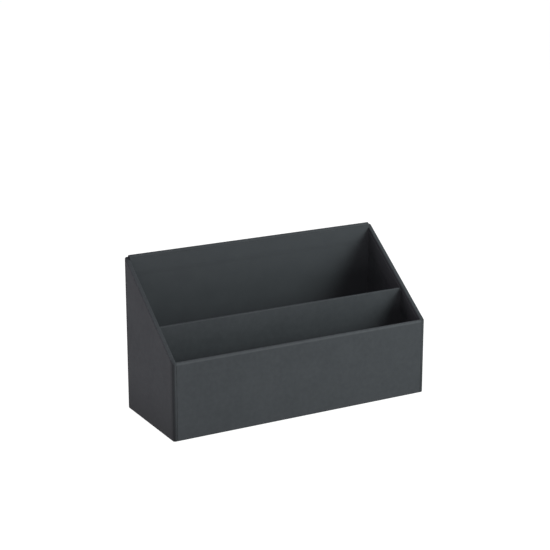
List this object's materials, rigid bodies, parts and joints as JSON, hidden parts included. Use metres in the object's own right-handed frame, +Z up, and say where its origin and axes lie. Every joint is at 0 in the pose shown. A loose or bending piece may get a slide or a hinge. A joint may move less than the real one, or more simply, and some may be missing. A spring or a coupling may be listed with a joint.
{
  "type": "desktop envelope sorter",
  "caption": "Rigid board envelope sorter covered with charcoal paper: high back, low front, sloping sides and a divider between a front and a back pocket.",
  "frame": {"origin": "on the table, under the middle of the base", "axes": "+X to the right along the width, +Y from the low front to the high back, +Z up"},
  "size_m": [0.25, 0.094, 0.1395],
  "materials": {
    "greyboard": "matt, bare board",
    "kraft_tape": "gummed kraft paper",
    "charcoal_cover_paper": "fine-grained embossed, matt with a soft sheen",
    "charcoal_lining_paper": "fine-grained embossed, matt",
    "infill_paper": "plain matt",
    "charcoal_base_paper": "smooth matt"
  },
  "bodies": {
    "root": {"base_board": "greyboard", "left_side_board": "greyboard", "right_side_board": "greyboard", "front_board": "greyboard", "back_board": "greyboard", "divider_board": "greyboard", "front_left_corner_tape": "kraft_tape", "front_right_corner_tape": "kraft_tape", "back_left_corner_tape": "kraft_tape", "back_right_corner_tape": "kraft_tape", "left_side_cover": "charcoal_cover_paper", "right_side_cover": "charcoal_cover_paper", "front_cover": "charcoal_cover_paper", "back_cover": "charcoal_cover_paper", "divider_cover": "charcoal_cover_paper", "front_lining": "charcoal_lining_paper", "back_lining": "charcoal_lining_paper", "left_side_lining": "charcoal_lining_paper", "right_side_lining": "charcoal_lining_paper", "floor_lining": "charcoal_lining_paper", "base_infill": "infill_paper", "base_cover": "charcoal_base_paper"}
  },
  "joints": []
}
